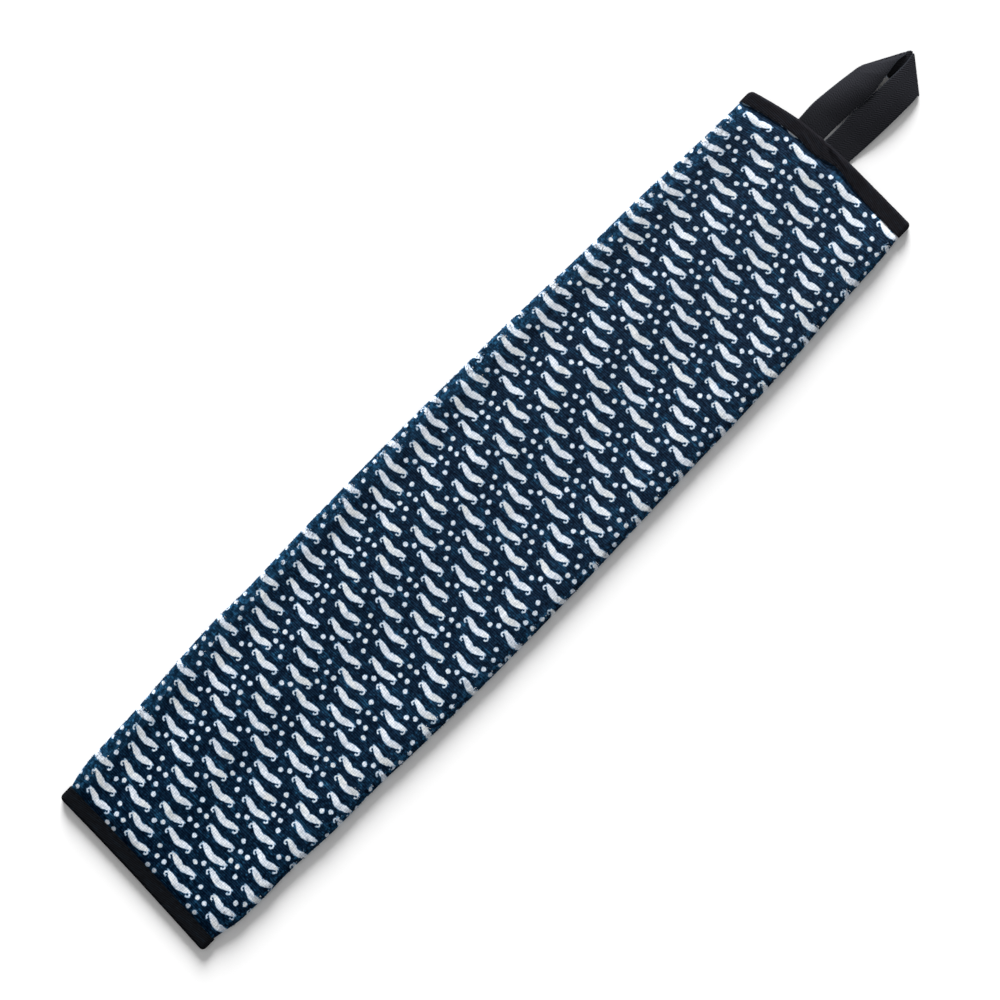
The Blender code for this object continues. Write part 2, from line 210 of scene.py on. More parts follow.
# The print: its repeat on the flat cloth, and where the repeat lies at some of its rows, counted
# down from the loop end. first is where a row's second repeat stands across.
PRINT_ACROSS = 44.6
PRINT_ALONG = 47.5
PrintRow = namedtuple("PrintRow", "row along first tilt left_bend")
PRINT_ROWS = (
    PrintRow(-1, 369.2, -20.2, 0.055, -7.6),
    PrintRow(0, 322.3, -17.9, 0.052, -6.9),
    PrintRow(3, 181.6, -12.1, 0.043, -3.8),
    PrintRow(6, 40.6, -9.4, 0.036, -1.2),
    PrintRow(9, -102.0, -3.4, 0.014, -0.2),
    PrintRow(12, -244.8, 3.0, 0.0, -0.2),
    PrintRow(15, -388.7, 7.2, -0.018, 3.0),
    PrintRow(16, -436.3, 7.9, -0.022, 4.6),
)
# Near the left fold the print lies this much further right, fully so from the first place on.
SQUEEZE_LOSS = 1.9
SQUEEZE_PLACE = (-68.0, -40.0)

# Beside the loop the print is drawn up under the binding.
PULL_RISE = 4.5
PULL_ALONG = (326.5, 334.0)
PULL_ACROSS = 10.0
PULL_HALF_WIDTH = 15

# One repeat holds four moustaches and eight dots, placed from the middle of the lowest moustache.
Spot = namedtuple("Spot", "x y")
MOUSTACHES = (Spot(-29.0, 35.8), Spot(-22.0, 23.6), Spot(-16.9, 10.3), Spot(0.0, 0.0))
DOTS = (
    Spot(-7.4, 34.9),
    Spot(-3.5, 27.6),
    Spot(3.4, 28.1),
    Spot(-4.3, 17.7),
    Spot(2.6, 17.9),
    Spot(6.6, 11.4),
    Spot(-18.0, 1.8),
    Spot(-23.8, -2.2),
)
DOT_RADIUS = 1.85

# Half a moustache: a tilted oval and a hook under its tip, by distance from its middle.
LOBE_MIDDLE = (4.8, 0.3)
LOBE_HALF_LENGTH = 7.2
LOBE_HALF_WIDTH = 2.5
LOBE_TAPER = 0.3
LOBE_TILT = math.radians(18.0)
HOOK_MIDDLE = (10.2, -0.3)
HOOK_RADIUS = 1.6
HOOK_HALF_WIDTH = 0.55
HOOK_END = 0.45
# Moustaches are by turns wider and narrower across the cloth. Each lies in a band this far to
# both sides of its middle, and no two bands of one repeat meet.
WHISKER_WIDTH = 1.045
WHISKER_WIDTH_TURN = -0.055
WHISKER_BAND = 5.1

# Loose loops of the terry along the side folds, and the thread of the binding seams.
PILE_LOOPS = 5200
PILE_HEIGHT = (0.35, 0.95)
PILE_WIDTH = (0.5, 1.1)
PILE_HALF_THICK = (0.12, 0.2)
PILE_MARGIN = 0.8
STITCH_LENGTH = 2.3
STITCH_PITCH = 2.9
STITCH_INSET = 1.3
STITCH_HALF_THICK = 0.2
STITCH_FROM_LEFT = 1.6
STITCH_FROM_RIGHT = 1.2
THREAD_STEPS = 4

# Pale tuft where the legs of the loop part.
TUFT_PLACE = (-15.3, 410.3, 7.0)
TUFT_THREADS = 9
TUFT_LENGTH = 1.5
TUFT_HALF_THICK = 0.13

# Threads of the terry, and the weaves of the tapes: periods of their ribs and columns.
THREAD_PITCH = (1.8, 1.75)
TWILL_PERIOD = 1.5
HERRINGBONE_PERIOD = 2.6
HERRINGBONE_COLUMN = 9.6
# Band, by distance from the loop tape's middle, where its edges take a painted highlight.
EDGE_HIGHLIGHT_BAND = (11.7, 12.4)

# Colours. A pair is the hollows between the threads and their tops.
NAVY = ((0.0001, 0.0019, 0.0072), (0.0042, 0.0175, 0.0415))
# Painted light: the navy pair toward the loop end, lighter as if lit more there.
PAINTED_LIT_NAVY = ((0.0040, 0.0078, 0.0160), (0.0185, 0.0395, 0.0770))
# Lighter blue threads; also the colour of the lift along the left fold, partly raised pile and partly
# painted light.
BLUE_FLECK = (0.020, 0.098, 0.200)
CLEAN_WHITE = ((0.30, 0.355, 0.44), (0.790, 0.808, 0.858))
CREAM_WHITE = ((0.31, 0.34, 0.37), (0.770, 0.765, 0.745))
# Painted light: the white toward the loop end.
PAINTED_LIT_WHITE = (0.76, 0.81, 0.86)
# Painted shade: the white toward the lower end, where the light falls off.
PAINTED_SHADE_WHITE = (0.42, 0.54, 0.62)
MARGIN_WHITE = (0.30, 0.40, 0.52)
PRINT_FRINGE = (0.130, 0.290, 0.470)
TAPE_BLACK = ((0.0052, 0.0052, 0.0064), (0.0285, 0.0295, 0.0350))
# Painted highlight along the loop tape's two edges.
EDGE_HIGHLIGHT_GREY = (0.040, 0.046, 0.058)
PALE_THREAD = ((0.22, 0.27, 0.34), (0.50, 0.54, 0.60))

# Table, and the camera: straight down, turned about its axis, with the photograph's width there.
TABLE_HALF_WIDTH = 3.0
TABLE_TONE = 0.93
VIEW_MIDDLE = (0.0008, -0.030)
VIEW_TURN = 44.43
VIEW_WIDTH = 0.7692
CAMERA_HEIGHT = 2.6

# Light: an even fill, and a soft key low over the top of the photograph.
FILL = 0.41
KEY = 9.4
KEY_HEIGHT = 15.0
KEY_SPREAD = 30.0
KEY_FROM = (-0.700, 0.714)


def mix(a, b, share):
    return a + (b - a) * share


def soft_step(low, high, value):
    """0 at low, 1 at high, smooth between; low may be the larger one."""
    share = min(1.0, max(0.0, (value - low) / (high - low)))
    return share * share * (3 - 2 * share)


class Curve:
    """A smooth curve through one column of a table, flat beyond its ends."""

    def __init__(self, rows, key, value):
        self.keys = [getattr(row, key) for row in rows]
        self.values = [getattr(row, value) for row in rows]
        last = len(rows) - 1
        self.slopes = []
        for k in range(last + 1):
            before, after = max(0, k - 1), min(last, k + 1)
            rise = self.values[after] - self.values[before]
            self.slopes.append(rise / (self.keys[after] - self.keys[before]))

    def __call__(self, at):
        keys, values = self.keys, self.values
        at = min(keys[-1], max(keys[0], at))
        i = len(keys) - 2
        while i > 0 and keys[i] > at:
            i -= 1
        width = keys[i + 1] - keys[i]
        s = (at - keys[i]) / width
        return (
            values[i] * (1 + 2 * s) * (1 - s) ** 2
            + values[i + 1] * s * s * (3 - 2 * s)
            + self.slopes[i] * width * s * (1 - s) ** 2
            - self.slopes[i + 1] * width * s * s * (1 - s)
        )


left_side = Curve(OUTLINE, "along", "left")
right_side = Curve(OUTLINE, "along", "right")
top_line = Curve(TOP_LINE, "across", "along")
bottom_line = Curve(BOTTOM_LINE, "across", "along")
top_flap = Curve(TOP_FLAP, "across", "depth")
bottom_flap = Curve(BOTTOM_FLAP, "across", "depth")
print_first = Curve(PRINT_ROWS, "row", "first")
print_along = Curve(PRINT_ROWS, "row", "along")
print_tilt = Curve(PRINT_ROWS, "row", "tilt")
print_bend = Curve(PRINT_ROWS, "row", "left_bend")


def point(x, along, z):
    return ((x - MIDDLE_ACROSS) * MM, (along - MIDDLE_ALONG) * MM, z * MM)


def across_share(x, left, right):
    return max(-1.0, min(1.0, (2 * x - left - right) / (right - left)))


def cloth_along(share, across):
    """Distance along at a share of the cloth's length, which is skewed as its two ends are."""
    top = top_line(across) - CLOTH_SHORT_OF_TAPE
    bottom = bottom_line(across) + CLOTH_SHORT_OF_TAPE
    return mix(bottom, top, share)


def loop_hump(x):
    """Lift of the upper end where the two legs of the loop lie behind it."""
    left, right = LEFT_LEG[0].outer[0], RIGHT_LEG[0].outer[0]
    rise = soft_step(left - 1 - LOOP_SHOULDER, left - 1, x)
    fall = soft_step(right + 1 + LOOP_SHOULDER, right + 1, x)
    return LOOP_LIFT * rise * fall


def no_hump(x):
    return 0.0


def end_state(x, across, along):
    """How far the cloth is pressed by a binding, and how high its back is held there."""
    from_top = top_line(across) - along
    from_bottom = along - bottom_line(across)
    if from_top < from_bottom:
        flap = max(row.depth for row in TOP_FLAP)
        distance, lift = from_top, loop_hump(x) * soft_step(*HUMP_PLACE, from_top)
    else:
        flap = max(row.depth for row in BOTTOM_FLAP)
        distance, lift = from_bottom, 0.0
    left_over = 1 - min(1.0, max(0.0, (distance - flap - PRESSED_PAST_FLAP) / PUFF_LENGTH))
    pressed = 1 - math.sqrt(1 - left_over * left_over)
    back = (GAP + TAPE_THICK) * soft_step(*TAPE_LIFT_PLACE, distance) + lift
    return pressed, back


def front_height(x, left, right, along):
    """Height of the printed face above the cloth's back, with its long ridges and troughs."""
    height = FRONT_BASE
    toward = min(1.0, max(-1.0, along / 330.0))
    for row in RELIEF:
        end_place = row.place_top if toward > 0 else row.place_low
        end_value = row.top if toward > 0 else row.low
        place = mix(row.place_mid, end_place, abs(toward))
        size = mix(row.mid, end_value, abs(toward))
        distance = (x - left if row.side == "left" else right - x) - place
        height += size * math.exp(-((distance / row.half_width) ** 2))
    return height


def cloth_thickness(pressed):
    return mix(CLOTH_THICK, CLOTH_PRESSED, pressed)


class Section:
    """The folded cloth at one place along it: its middle line and outward directions."""

    def __init__(self, share):
        self.share = share
        self.left = left_side(cloth_along(share, -1.0))
        self.right = right_side(cloth_along(share, 1.0))
        pressed_end, _ = end_state(0.0, 0.0, cloth_along(share, 0.0))
        tape = TOP_ENDS if share > 0.5 else BOTTOM_ENDS
        self.left = mix(self.left, tape[0] + CLOTH_INSIDE_TAPE, pressed_end)
        self.right = mix(self.right, tape[1] - CLOTH_INSIDE_TAPE, pressed_end)

    def state(self, x):
        across = across_share(x, self.left, self.right)
        along = cloth_along(self.share, across)
        pressed, back = end_state(x, across, along)
        full = front_height(x, self.left, self.right, along)
        return along, pressed, back, mix(full, PRESSED_HEIGHT, pressed)

    def fold(self, edge, toward):
        """The round of one side fold, from its under side to its upper side."""
        pressed = self.state(edge)[1]
        reach = mix(FOLD_REACH, FOLD_REACH_PRESSED, pressed)
        centre = edge + toward * (cloth_thickness(pressed) / 2 + reach)
        along, pressed, back, height = self.state(centre)
        half = cloth_thickness(pressed) / 2
        rise = height / 2 - half
        made = []
        for k in range(FOLD_STEPS + 1):
            angle = math.pi * (k / FOLD_STEPS - 0.5)
            across, up = -toward * math.cos(angle), math.sin(angle)
            out = Vector((across / reach, up / rise)).normalized()
            made.append((centre + across * reach, along, back + height / 2 + rise * up, out, half))
        return made

    def flat(self, start, end, steps, face):
        made = []
        for k in range(steps + 1):
            x = mix(start, end, k / steps)
            along, pressed, back, height = self.state(x)
            half = cloth_thickness(pressed) / 2
            if not face:
                made.append((x, along, back + half, Vector((0.0, -1.0)), half))
                continue
            beyond, before = self.state(x + 0.5), self.state(x - 0.5)
            slope = (beyond[2] + beyond[3]) - (before[2] + before[3])
            made.append((x, along, back + height - half, Vector((-slope, 1.0)).normalized(), half))
        return made

    def line(self):
        """All of it, and the places in it where the printed face starts and ends."""
        left_fold = self.fold(self.left, 1)
        right_fold = self.fold(self.right, -1)
        seam = SEAM_OPENING / 2
        made = self.flat(-seam, left_fold[0][0], BACK_STEPS, face=False)[:-1]
        made += left_fold
        start = len(made) - 1
        made += self.flat(left_fold[-1][0], right_fold[-1][0], FACE_STEPS, face=True)[1:-1]
        end = len(made)
        made += right_fold[::-1]
        made += self.flat(right_fold[0][0], seam, BACK_STEPS, face=False)[1:]
        return made, start, end


def print_row_at(x, along):
    """The print's row, counted down from the loop end, at a point of the face."""
    row = (PRINT_ROWS[1].along - along) / PRINT_ALONG
    bend = max(0.0, (-x - 20) / 60) ** 2
    for _ in range(3):
        off = print_along(row) + print_tilt(row) * x + print_bend(row) * bend - along
        row += off / PRINT_ALONG
    return row


def print_place(x, along):
    """Repeat across and repeat down at a point of the face."""
    row = print_row_at(x, along)
    lost = SQUEEZE_LOSS * soft_step(SQUEEZE_PLACE[1], SQUEEZE_PLACE[0], x)
    beside = math.exp(-(((x - PULL_ACROSS) / PULL_HALF_WIDTH) ** 2))
    row += PULL_RISE * soft_step(*PULL_ALONG, along) * beside / PRINT_ALONG
    return 1 + (x - print_first(row) - lost) / PRINT_ACROSS, row


def print_places(row, start, end):
    """Where the print falls on one row of outer points: carried on round both sides from the face."""
    places = [None] * len(row)
    for j in range(start, end + 1):
        places[j] = print_place(row[j][0], row[j][1])
    for j in list(range(start - 1, -1, -1)) + list(range(end + 1, len(row))):
        edge, step = (start, 1) if j < start else (end, -1)
        run = math.hypot(row[j][0] - row[j + step][0], row[j][2] - row[j + step][2])
        down = (row[edge][1] - row[j][1]) / PRINT_ALONG
        places[j] = (places[j + step][0] - step * run / PRINT_ACROSS, places[edge][1] + down)
    return places


def margin_at(x, left, right):
    """How worn the face is near a side fold, its pile raised; along the left fold it also carries a lift
    of painted light.
    """
    return soft_step(10.0, 0.5, x - left) + 0.3 * soft_step(6.0, 0.5, right - x)


def surface_stray(x, along, z):
    long_wave = LONG_STRAY * noise.noise(Vector((x * 0.11, along * 0.045, 3.0)))
    return long_wave + SHORT_STRAY * noise.noise(Vector((x * 0.4, along * 0.35, z * 0.3)))


def cloth_sides():
    """Outer and inner points of the folded cloth, where the print falls, and the margins."""
    outer, inner, prints, margins = [], [], [], []
    for i in range(CLOTH_ROWS + 1):
        share = i / CLOTH_ROWS
        line, start, end = Section(share).line()
        keep = min(1.0, min(share, 1 - share) * STRAY_LENGTH / STRAY_FADE)
        row, within = [], []
        for x, along, z, out, half in line:
            push = half + surface_stray(x, along, z) * keep * max(0.0, out.y + 0.6) / 1.6
            row.append((x + out.x * push, along, z + out.y * push))
            within.append(point(x - out.x * half, along, z - out.y * half))
        outer.append([point(*place) for place in row])
        inner.append(within)
        prints.append(print_places(row, start, end))
        left, right = line[start][0], line[end][0]
        margins.append(
            [
                margin_at(place[0], left, right) if start <= j <= end else 1.0
                for j, place in enumerate(line)
            ]
        )
    return (outer, inner, prints), margins


def binding_places(left, right):
    """Places across a binding: close together at its two corners."""
    corner = [
        BINDING_CORNER * (1 - math.cos(math.pi / 2 * k / CORNER_STEPS)) for k in range(CORNER_STEPS + 1)
    ]
    inner = BINDING_COLUMNS
    places = [left + c for c in corner]
    places += [mix(left + BINDING_CORNER, right - BINDING_CORNER, k / inner) for k in range(1, inner)]
    places += [right - c for c in reversed(corner)]
    return places


def binding_line(x, end_line, flap, ends, toward, hump):
    """Middle line of a binding's tape at a place across: place and outward direction, along and up."""
    left, right = ends
    across = across_share(x, left, right)
    near = min(x - left, right - x)
    to_corner = BINDING_CORNER - min(near, BINDING_CORNER)
    cut = BINDING_CORNER - math.sqrt(BINDING_CORNER**2 - to_corner**2)
    edge = end_line(across) - toward * cut
    uneven = 0.22 * noise.noise(Vector((x * 0.16, toward * 7.0, 0.0)))
    front = edge - toward * (flap(across) - cut + uneven)
    back = edge - toward * (FLAP_DEPTH_BACK - cut)
    low = hump(x)
    high = low + BINDING_HEIGHT - BINDING_DROOP * soft_step(BINDING_CORNER, 0.0, near)
    middle = (low + high) / 2
    rise = (high - low) / 2 - TAPE_THICK / 2
    turn = edge - toward * (TAPE_THICK / 2 + TURN_REACH)
    line = [
        (mix(front, turn, k / FRONT_FLAP_STEPS), middle + rise, 0.0, 1.0)
        for k in range(FRONT_FLAP_STEPS)
    ]
    for k in range(TURN_STEPS + 1):
        angle = math.pi * (0.5 - k / TURN_STEPS)
        reach, up = math.cos(angle), math.sin(angle)
        out = Vector((reach / TURN_REACH, up / rise)).normalized()
        line.append((turn + toward * TURN_REACH * reach, middle + rise * up, toward * out.x, out.y))
    for k in range(1, BACK_FLAP_STEPS + 1):
        line.append((mix(turn, back, k / BACK_FLAP_STEPS), middle - rise, 0.0, -1.0))
    return line


def binding_sides(end_line, flap, ends, toward, hump):
    """A channel of tape over one end: front flap, turn round the edge, back flap."""
    outer, inner, tape = [], [], []
    half = TAPE_THICK / 2
    for x in binding_places(*ends):
        line = binding_line(x, end_line, flap, ends, toward, hump)
        above, below, places, run = [], [], [], 0.0
        for k, (y, z, oy, oz) in enumerate(line):
            if k:
                run += math.hypot(y - line[k - 1][0], z - line[k - 1][1])
            soft = 0.12 * noise.noise(Vector((x * 0.3, y * 0.5, z)))
            if toward > 0 and oz > 0.2:
                soft += crease_height(x, y)
            above.append(point(x, y + oy * (half + soft), z + oz * (half + soft)))
            below.append(point(x, y - oy * half, z - oz * half))
            places.append((x, run))
        outer.append(above)
        inner.append(below)
        tape.append(places)
    return outer, inner, tape


# Small creases of the upper binding between the two legs of the loop: from one end to the other.
Crease = namedtuple("Crease", "start end height half_width")
CREASES = (
    Crease(start=(-17.0, 340.5), end=(-4.0, 329.8), height=0.9, half_width=1.1),
    Crease(start=(-13.5, 341.5), end=(3.0, 333.5), height=-0.8, half_width=1.0),
    Crease(start=(-30.0, 333.5), end=(-13.0, 329.6), height=0.7, half_width=1.3),
    Crease(start=(-9.0, 340.8), end=(12.0, 337.8), height=0.8, half_width=1.2),
)


def crease_height(x, y):
    """Height that the creases add to the upper binding at a point."""
    total = 0.0
    for crease in CREASES:
        a, b = Vector(crease.start), Vector(crease.end)
        run = b - a
        s = (Vector((x, y)) - a).dot(run) / run.length_squared
        if s < -0.3 or s > 1.3:
            continue
        off = (Vector((x, y)) - a - run * s).length
        fade = soft_step(-0.3, 0.2, s) * soft_step(1.3, 0.8, s)
        total += crease.height * fade * math.exp(-((off / crease.half_width) ** 2))
    return total


def mitre_rungs(mitre, from_above):
    """Rungs round a mitre fold, from the ply above to the ply on the table or back."""
    crease = Vector(mitre.inner) - Vector(mitre.outer)
    inward = Vector((crease.y, -crease.x)).normalized()
    if inward.y > 0:
        inward = -inward
    made = []
    for k in range(FOLD_TURNS + 1):
        angle = math.pi * k / FOLD_TURNS
        edges = []
        for end, above in ((mitre.outer, mitre.above_outer), (mitre.inner, mitre.above_inner)):
            radius = (above - LOOP_ON_TABLE) / 2
            back_off = radius * (1 - math.sin(angle))
            place = Vector(end) + inward * back_off
            edges.append((place.x, place.y, LOOP_ON_TABLE + radius * (1 + math.cos(angle))))
        made.append(Rung("mitre", outer=edges[0], inner=edges[1], arch=0.0))
    return made if from_above else made[::-1]


def smooth_rungs(rungs):
    """Extra rungs between the given ones, along a smooth curve through each edge."""
    rows = [(Vector(rung.outer), Vector(rung.inner), Vector((rung.arch, 0, 0))) for rung in rungs]
    made = []
    for i in range(len(rows) - 1):
        before, after = max(0, i - 1), min(len(rows) - 1, i + 2)
        steps = MITRE_STEPS if rungs[i].name == rungs[i + 1].name == "mitre" else LOOP_STEPS
        for k in range(steps):
            s = k / steps
            new = []
            for p0, p1, p2, p3 in zip(rows[before], rows[i], rows[i + 1], rows[after]):
                span = (p2 - p1).length
                in_slope = (p2 - p0) * span / max(1e-6, (p1 - p0).length + span)
                out_slope = (p3 - p1) * span / max(1e-6, (p3 - p2).length + span)
                new.append(
                    p1 * ((1 + 2 * s) * (1 - s) ** 2)
                    + p2 * (s * s * (3 - 2 * s))
                    + in_slope * (s * (1 - s) ** 2)
                    - out_slope * (s * s * (1 - s))
                )
            made.append(new)
    made.append(list(rows[-1]))
    return made


def loop_sides():
    """The tape of the loop, from one end behind the binding to the other."""
    rungs = list(LEFT_LEG)
    rungs += mitre_rungs(LEFT_MITRE, from_above=True)
    rungs += UNDER
    rungs += mitre_rungs(RIGHT_MITRE, from_above=False)
    rungs += RIGHT_LEG
    grid = []
    for outer_edge, inner_edge, arch in smooth_rungs(rungs):
        row = []
        for k in range(LOOP_ACROSS):
            s = k / (LOOP_ACROSS - 1)
            place = outer_edge.lerp(inner_edge, s)
            place.z += arch.x * 4 * s * (1 - s)
            row.append(place)
        grid.append(row)
    outer, inner, tape = [], [], []
    runs = [0.0] * LOOP_ACROSS
    for i, row in enumerate(grid):
        before, after = grid[max(0, i - 1)], grid[min(len(grid) - 1, i + 1)]
        above, below, places = [], [], []
        for k, place in enumerate(row):
            run = after[k] - before[k]
            over = row[min(LOOP_ACROSS - 1, k + 1)] - row[max(0, k - 1)]
            out = over.cross(run).normalized() * (LOOP_THICK / 2)
            above.append(point(*(place + out)))
            below.append(point(*(place - out)))
            if i:
                runs[k] += (place - grid[i - 1][k]).length
            places.append((LOOP_WIDTH * k / (LOOP_ACROSS - 1), runs[k]))
            if k in (0, LOOP_ACROSS - 1):
                knob = over.normalized() * KNOB_SIZE * abs(math.sin(math.pi * runs[k] / KNOB_PITCH))
                knob = -knob if k == 0 else knob
                above[k] = point(*(place + out * LOOP_EDGE_SHARE + knob))
                below[k] = point(*(place - out * LOOP_EDGE_SHARE + knob))
        outer.append(above)
        inner.append(below)
        tape.append(places)
    return outer, inner, tape


def flat_mapped_mesh(name, points, faces, spots):
    """A mesh whose UV map, called flat, holds each point's place on the flat cloth or tape."""
    mesh = bpy.data.meshes.new(name)
    mesh.from_pydata(points, [], faces)
    mesh.validate()
    loops = np.empty(len(mesh.loops), dtype=np.int32)
    mesh.loops.foreach_get("vertex_index", loops)
    layer = mesh.uv_layers.new(name="flat")
    layer.data.foreach_set("uv", spots[loops].ravel())
    return mesh


def placed(name, mesh, material):
    made = bpy.data.objects.new(name, mesh)
    bpy.context.scene.collection.objects.link(made)
    mesh.materials.append(material)
    return made


def set_margin(made, values):
    layer = made.data.attributes.new("margin", "FLOAT", "POINT")
    layer.data.foreach_set("value", values)


def sheet_piece(name, sides, material, node):
    """A closed sheet between two matching grids, with flat-cloth places as its UV map."""
    outer, inner, places = (np.array(side, dtype=float) for side in sides)
    rows, columns = outer.shape[:2]
    ids = np.arange(rows * columns).reshape(rows, columns)
    back = ids + rows * columns
    faces = []

    def quads(a, b, c, d):
        faces.append(np.stack([a.ravel(), b.ravel(), c.ravel(), d.ravel()], axis=1))

    quads(ids[:-1, :-1], ids[1:, :-1], ids[1:, 1:], ids[:-1, 1:])
    quads(back[:-1, :-1], back[:-1, 1:], back[1:, 1:], back[1:, :-1])
    quads(ids[:-1, 0], back[:-1, 0], back[1:, 0], ids[1:, 0])
    quads(ids[:-1, -1], ids[1:, -1], back[1:, -1], back[:-1, -1])
    quads(ids[0, :-1], ids[0, 1:], back[0, 1:], back[0, :-1])
    quads(ids[-1, :-1], back[-1, :-1], back[-1, 1:], ids[-1, 1:])
    faces = np.concatenate(faces)
    points = np.concatenate([outer.reshape(-1, 3), inner.reshape(-1, 3)])
    mesh = flat_mapped_mesh(name, points.tolist(), faces.tolist(), np.tile(places.reshape(-1, 2), (2, 1)))
    if outward_volume(mesh) < 0:
        mesh.flip_normals()
    mesh.shade_smooth()
    mesh.set_sharp_from_angle(angle=math.radians(60))
    made = placed(name, mesh, material)
    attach(made, "root")
    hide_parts(node)
    return made


def outward_volume(mesh):
    """Six times the volume inside the mesh, below zero when its faces point inwards."""
    mesh.calc_loop_triangles()
    corners = np.empty(len(mesh.vertices) * 3)
    mesh.vertices.foreach_get("co", corners)
    corners = corners.reshape(-1, 3)
    triangles = np.empty(len(mesh.loop_triangles) * 3, dtype=np.int32)
    mesh.loop_triangles.foreach_get("vertices", triangles)
    a, b, c = (corners[triangles.reshape(-1, 3)[:, k]] for k in range(3))
    return float((a * np.cross(b, c)).sum())


def tube_mesh(name, paths, half_widths, spots, material):
    """Short three-sided threads, each along a few points, as one mesh with one UV place a thread."""
    sides = 3
    points, faces, places = [], [], []
    for path, half, spot in zip(paths, half_widths, spots):
        base = len(points)
        for k, place in enumerate(path):
            run = (path[min(k + 1, len(path) - 1)] - path[max(k - 1, 0)]).normalized()
            a = run.orthogonal().normalized()
            b = run.cross(a)
            for s in range(sides):
                angle = 2 * math.pi * s / sides
                points.append(place + (a * math.cos(angle) + b * math.sin(angle)) * half)
        places += [spot] * (sides * len(path))
        for k in range(len(path) - 1):
            for s in range(sides):
                low, high = base + k * sides, base + (k + 1) * sides
                t = (s + 1) % sides
                faces.append((low + s, low + t, high + t, high + s))
        last = base + (len(path) - 1) * sides
        faces.append((base + 2, base + 1, base))
        faces.append((last, last + 1, last + 2))
    mesh = flat_mapped_mesh(name, [tuple(place) for place in points], faces, np.array(places))
    mesh.shade_smooth()
    made = placed(name, mesh, material)
    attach(made, "root")
    return made


def margin_pile(sides, material):
    """Loops of the terry that stand out along the two side folds."""
    outer, _, prints = sides
    dice = np.random.default_rng(7)
    paths, halves, spots = [], [], []
    fold_end = BACK_STEPS + FOLD_STEPS
    last = len(outer[0]) - 1
    for _ in range(PILE_LOOPS):
        i = dice.integers(7, CLOTH_ROWS - 7)
        inward = dice.triangular(-7, -3, 5)
        j = fold_end + inward
        if dice.random() < 0.4:
            j = last - j
        cell = int(j)
        share = j - cell
        here = Vector(outer[i][cell]).lerp(Vector(outer[i][cell + 1]), share)
        ahead = Vector(outer[i + 1][cell]) - Vector(outer[i][cell])
        beside = Vector(outer[i][cell + 1]) - Vector(outer[i][cell])
        out = beside.cross(ahead).normalized()
        here += ahead * dice.random()
        height = dice.uniform(*PILE_HEIGHT) * MM
        lean = (ahead.normalized() * dice.normal(0, 0.5) + beside.normalized() * dice.normal(0, 0.5)) * MM
        width = dice.uniform(*PILE_WIDTH) * MM
        turn = dice.uniform(0, math.pi)
        foot = (ahead.normalized() * math.cos(turn) + beside.normalized() * math.sin(turn)) * width / 2
        path = []
        for k in range(THREAD_STEPS + 1):
            angle = math.pi * k / THREAD_STEPS
            up = math.sin(angle)
            path.append(here - foot * math.cos(angle) + (out * height + lean * 0.6) * up - out * 0.1 * MM)
        paths.append(path)
        halves.append(dice.uniform(*PILE_HALF_THICK) * MM)
        a, b = prints[i][cell], prints[i][cell + 1]
        spots.append((mix(a[0], b[0], share), a[1]))
    made = tube_mesh("edge_pile", paths, halves, spots, material)
    set_margin(made, np.full(len(made.data.vertices), PILE_MARGIN))
    return made


def binding_stitches(name, end_line, flap, ends, toward, hump, material):
    """Thread of the seam that holds a binding, a little way in from the edge of its front flap."""
    paths, halves, spots = [], [], []
    x = ends[0] + STITCH_FROM_LEFT
    while x + STITCH_LENGTH < ends[1] - STITCH_FROM_RIGHT:
        path = []
        for k in range(THREAD_STEPS + 1):
            at = x + STITCH_LENGTH * k / THREAD_STEPS
            across = across_share(at, *ends)
            y = end_line(across) - toward * (flap(across) - STITCH_INSET)
            z = hump(at) + BINDING_HEIGHT + 0.10 * math.sin(math.pi * k / THREAD_STEPS) - 0.02
            z += crease_height(at, y) if toward > 0 else 0.0
            path.append(Vector(point(at, y, z)))
        paths.append(path)
        halves.append(STITCH_HALF_THICK * MM)
        spots.append((x, 3.0))
        x += STITCH_PITCH
    return tube_mesh(name, paths, halves, spots, material)


def loose_threads(material):
    """Pale ends of thread at the lower edge of the loop's crossing ply."""
    dice = np.random.default_rng(11)
    paths, halves, spots = [], [], []
    x, y, z = TUFT_PLACE
    for _ in range(TUFT_THREADS):
        start = Vector((x + dice.uniform(-0.4, 0.5), y + dice.uniform(-0.3, 0.3), z))
        run = Vector((0.4 + dice.normal(0, 0.3), -dice.uniform(0.2, 0.8), dice.uniform(-0.5, 0.3)))
        curl = Vector((dice.normal(0, 0.5), dice.normal(0, 0.3), 0.0))
        shares = [k / THREAD_STEPS for k in range(THREAD_STEPS + 1)]
        path = [start + run * share * TUFT_LENGTH + curl * share**2 for share in shares]
        paths.append([Vector(point(*place)) for place in path])
        halves.append(TUFT_HALF_THICK * MM)
        spots.append((0.0, 0.0))
    return tube_mesh("loose_threads", paths, halves, spots, material)


